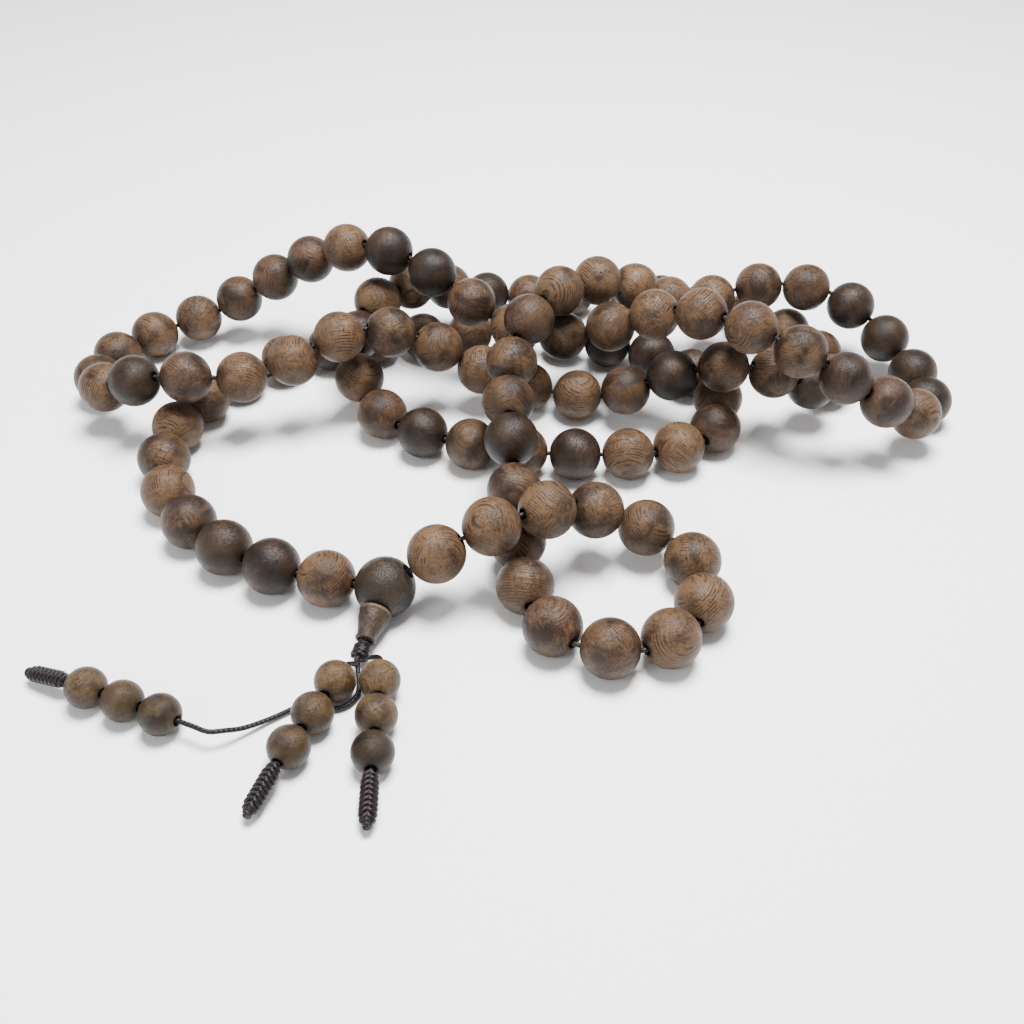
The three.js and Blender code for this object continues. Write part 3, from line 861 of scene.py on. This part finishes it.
def tower_knot_piece():
    """The wrapped knot under the tower: four close turns round the cords, and a loop that comes back
    over them from side to side."""
    start = guru_centre + tower_axis * (KNOT_TOP + WRAP_THREAD * 0.9)
    length = TOWER_KNOT_LENGTH - 1.9 * WRAP_THREAD
    side, _, top = frame_along(tower_axis)
    t = np.linspace(-1, 1, 28)[:, None]
    over = TOWER_KNOT_RADIUS - WRAP_THREAD * 0.75
    turn = 1.9 * t
    loop = (start + tower_axis * length * (0.55 + 0.4 * t) + side * over * np.sin(turn)
            + top * over * np.cos(turn))
    parts = [
        wrapping(start, tower_axis, length, TOWER_KNOT_RADIUS - WRAP_THREAD, WRAP_TURNS, WRAP_THREAD),
        core(start - tower_axis * 0.3 * MM, tower_axis, length + 0.6 * MM, 1.0 * MM),
        tube(loop, LOOP_THREAD, 10),
    ]
    points, faces, uv = join(parts)
    add_piece("tower_knot_wraps", points, faces, "loop", waxed_cord, ["tower_knot"], uv=uv)


def end_knot_piece(letter, start, axis, body):
    """An end knot: a column of stitches and the small nub that closes it."""
    column = END_KNOT_LENGTH * 0.84
    parts = chevrons(start, axis, column, 1.3 * MM, 1.1 * MM, STITCH_ROWS)
    parts.append(core(start + axis * 0.2 * MM, axis, column, 1.1 * MM))
    nub = start + axis * (column + 0.1 * MM)
    parts.append(wrapping(nub, axis, END_KNOT_LENGTH * 0.1, 0.6 * MM, NUB_TURNS, NUB_THREAD))
    parts.append(core(nub - axis * 0.4 * MM, axis, END_KNOT_LENGTH * 0.15, 0.5 * MM))
    points, faces, uv = join(parts)
    return add_piece(f"end_knot_{letter}_stitches", points, faces, body, waxed_cord,
                     [f"end_knot_{letter}"], uv=uv)


# ---- Guru bead and tower ----

LATHE_ROUND = 72
PIT_RADIUS = 1.35 * MM
PIT_EDGE = 0.45 * MM
PIT_DEPTH = 2.2 * MM


def lathe_piece(name, origin, axis, profile, body, nodes, closed, tone, shape=None, worn_ring=(0, 0)):
    """A turned piece of wood: a profile of radius and height carried round an axis. Its rows in
    worn_ring are rubbed pale."""
    rows = len(profile)
    local = turned(profile, LATHE_ROUND)
    points = origin + local @ frame_along(axis)
    mouth = np.zeros(len(points))
    if shape:
        points, mouth = shape(points)
    faces = grid_faces(rows, LATHE_ROUND, True) if closed else capped_faces(rows, LATHE_ROUND)
    worn = [float(worn_ring[0] < row < worn_ring[1]) for row in range(rows)]
    attributes = {
        "grain": chance_grain(local / GURU_RADIUS),
        "tone": np.full(len(points), tone[0]),
        "figure": np.full(len(points), tone[1]),
        "mouth": mouth,
        "worn": np.repeat(worn, LATHE_ROUND),
    }
    return add_piece(name, points, faces, body, guru_wood, nodes, attributes)


def guru_piece():
    """The guru ball, with a flat seat for the tower and a pit where each side bore enters: near a
    bore's axis the surface sinks by a smooth step of the distance from it."""
    def drill(points):
        mouth = np.zeros(len(points))
        for sideways in (toward_first, toward_last):
            offset = points - guru_centre
            ahead = offset @ sideways
            away = np.linalg.norm(offset - ahead[:, None] * sideways, axis=1)
            inside = np.clip((PIT_RADIUS - away) / PIT_EDGE, 0, 1) * (ahead > 0)
            sink = inside**2 * (3 - 2 * inside) * PIT_DEPTH
            points = points - sink[:, None] * sideways
            # Painted shade in each pit: full near the bore's axis, fading out towards the pit's edge.
            mouth = np.maximum(mouth, np.clip(2.3 - away / (0.6 * MM), 0, 1) * (ahead > 0))
        return points, mouth

    seat = math.acos(SEAT_SHARE)
    angle = np.linspace(math.radians(1.5), math.pi - seat - 0.06, 64)
    ball = np.column_stack([GURU_RADIUS * np.sin(angle), -GURU_RADIUS * np.cos(angle)])
    flat = GURU_RADIUS * SEAT_SHARE
    rim = GURU_RADIUS * math.sin(seat)
    edge = [(rim * 1.01, flat - 0.1 * MM), (rim * 0.97, flat), (TOWER_BORE / 2 * 1.05, flat)]
    bore = [(TOWER_BORE / 2, flat - 0.15 * MM), (TOWER_BORE / 2, flat * 0.3), (0.05 * MM, flat * 0.28)]
    lathe_piece("guru_ball", guru_centre, tower_axis, np.vstack([ball, edge, bore]), "loop",
                ["guru_bead"], False, (0.3, 0.35), drill)


def tower_piece():
    """The guru's tower: a rounded collar seated on the ball, a fine groove, a hollow body that stays
    full and then narrows, and a small lip."""
    collar, tip, bore, length = TOWER_COLLAR / 2, TOWER_TIP / 2, TOWER_BORE / 2, TOWER_LENGTH
    top = np.array([
        (bore, -0.1 * MM), (collar * 0.6, -0.12 * MM), (collar * 0.86, -0.1 * MM),
        (collar * 0.96, 0.08 * MM), (collar, 0.36 * MM), (collar * 0.99, 0.66 * MM),
        (collar * 0.95, 0.86 * MM), (collar * 0.925, 0.96 * MM), (collar * 0.93, 1.08 * MM),
    ])
    t = np.linspace(0, 1, 18)
    narrowing = (1 - np.cos(math.pi * t**1.15)) / 2
    wide, narrow = collar * 0.94, tip * 0.93
    body = np.column_stack([wide + (narrow - wide) * (0.45 * t + 0.55 * narrowing),
                            1.2 * MM + t * (length - 1.9 * MM)])
    lip = np.array([
        (tip, length - 0.56 * MM), (tip * 1.03, length - 0.36 * MM), (tip * 0.98, length - 0.12 * MM),
        (tip * 0.86, length), (bore * 1.1, length), (bore, length - 0.2 * MM), (bore, length * 0.45),
    ])
    lathe_piece("guru_tower_wood", guru_centre + tower_axis * TOWER_TOP, tower_axis,
                np.vstack([top, body, lip]), "guru_tower", ["guru_tower"], True, (0.5, 0.5),
                worn_ring=(2, 6))


# ---- Surroundings ----

FLOOR_REACH = 8.0
FLOOR_COLOR = (0.86, 0.86, 0.86, 1.0)


def add_floor():
    """A wide pale floor under the mala's lowest point."""
    lowest = surface + BEAD_REST - BEAD_RADIUS * 1.01
    directions = [(-1, -1), (1, -1), (1, 1), (-1, 1)]
    points = [(x * FLOOR_REACH, y * FLOOR_REACH, lowest) for x, y in directions]
    mesh = bpy.data.meshes.new("floor")
    mesh.from_pydata(points, [], [(0, 1, 2, 3)])
    look = Look("pale floor")
    mesh.materials.append(look.finish(FLOOR_COLOR, 0.6, 0.0, 0.1 * MM))
    floor = bpy.data.objects.new("floor", mesh)
    bpy.context.scene.collection.objects.link(floor)


def add_light(name, place, aim, size, power):
    """A soft square light that faces a point."""
    data = bpy.data.lights.new(name, "AREA")
    data.size = size
    data.energy = power
    light = bpy.data.objects.new(name, data)
    light.location = place
    light.rotation_euler = (Vector(aim) - Vector(place)).to_track_quat("-Z", "Y").to_euler()
    bpy.context.scene.collection.objects.link(light)


def add_lights():
    """A large soft light overhead and behind, a weaker one at the front left, and a dim pale surround."""
    add_light("overhead", (0.05, 0.06, 0.6), (0, 0, 0), 0.26, 17.0)
    add_light("front left", (-0.45, -0.5, 0.5), (0, 0, 0), 0.25, 2.4)
    world = bpy.data.worlds.new("surround")
    world.use_nodes = True
    background = world.node_tree.nodes["Background"]
    background.inputs["Color"].default_value = (1.0, 1.0, 1.0, 1.0)
    background.inputs["Strength"].default_value = 0.6
    bpy.context.scene.world = world


# ---- The whole mala ----

add_camera()

strands = {"a": path_a(), "b": path_b(), "c": path_c()}
# Each counter bead's tone and figure.
counter_tones = {
    "a1": (0.68, 0.5), "a2": (0.45, 0.35), "a3": (0.42, 0.35),
    "b1": (0.78, 0.7), "b2": (0.6, 0.5), "b3": (0.12, 0.1),
    "c1": (0.65, 0.45), "c2": (0.4, 0.4), "c3": (0.2, 0.3),
}
numbers = {"a": (1, 2, 3), "b": (1, 2, 3), "c": (3, 2, 1)}
bodies = {"a": "strand_a", "b": "strand_b", "c": "loop"}
for letter, (path, (centres, cord_end, knot_start, knot_axis), direction) in strands.items():
    on_cord = [end_knot_piece(letter, knot_start, knot_axis, bodies[letter])]
    for number, centre in zip(numbers[letter], centres):
        node = f"counter_bead_{letter}{number}"
        on_cord.append(bead_piece(node, f"counter_{letter}{number}", [(centre, direction)],
                                  COUNTER_RADIUS, counter_wood,
                                  [counter_tones[f"{letter}{number}"]]))
    cord = strand_cord(letter, path, bodies[letter])

main_cord_piece()
guru_piece()
tower_piece()
tower_knot_piece()

tones = chance_tones(BEAD_COUNT)
members = list(zip(bead_centres, bead_axes))
row_end = FIRST_ROW_BEAD + BEADS_PER_ROW * ROW_COUNT
for number in range(1, BEAD_COUNT + 1):
    if number < FIRST_ROW_BEAD or number >= row_end:
        node = f"main_bead_{number:03d}"
        bead_piece(node, node, members[number - 1:number], BEAD_RADIUS, bead_wood,
                   tones[number - 1:number])
for row in range(ROW_COUNT):
    first = FIRST_ROW_BEAD - 1 + row * BEADS_PER_ROW
    past = first + BEADS_PER_ROW
    bead_piece(f"bead_run_{row + 1}", "loop", members[first:past], BEAD_RADIUS, bead_wood,
               tones[first:past])

add_floor()
add_lights()
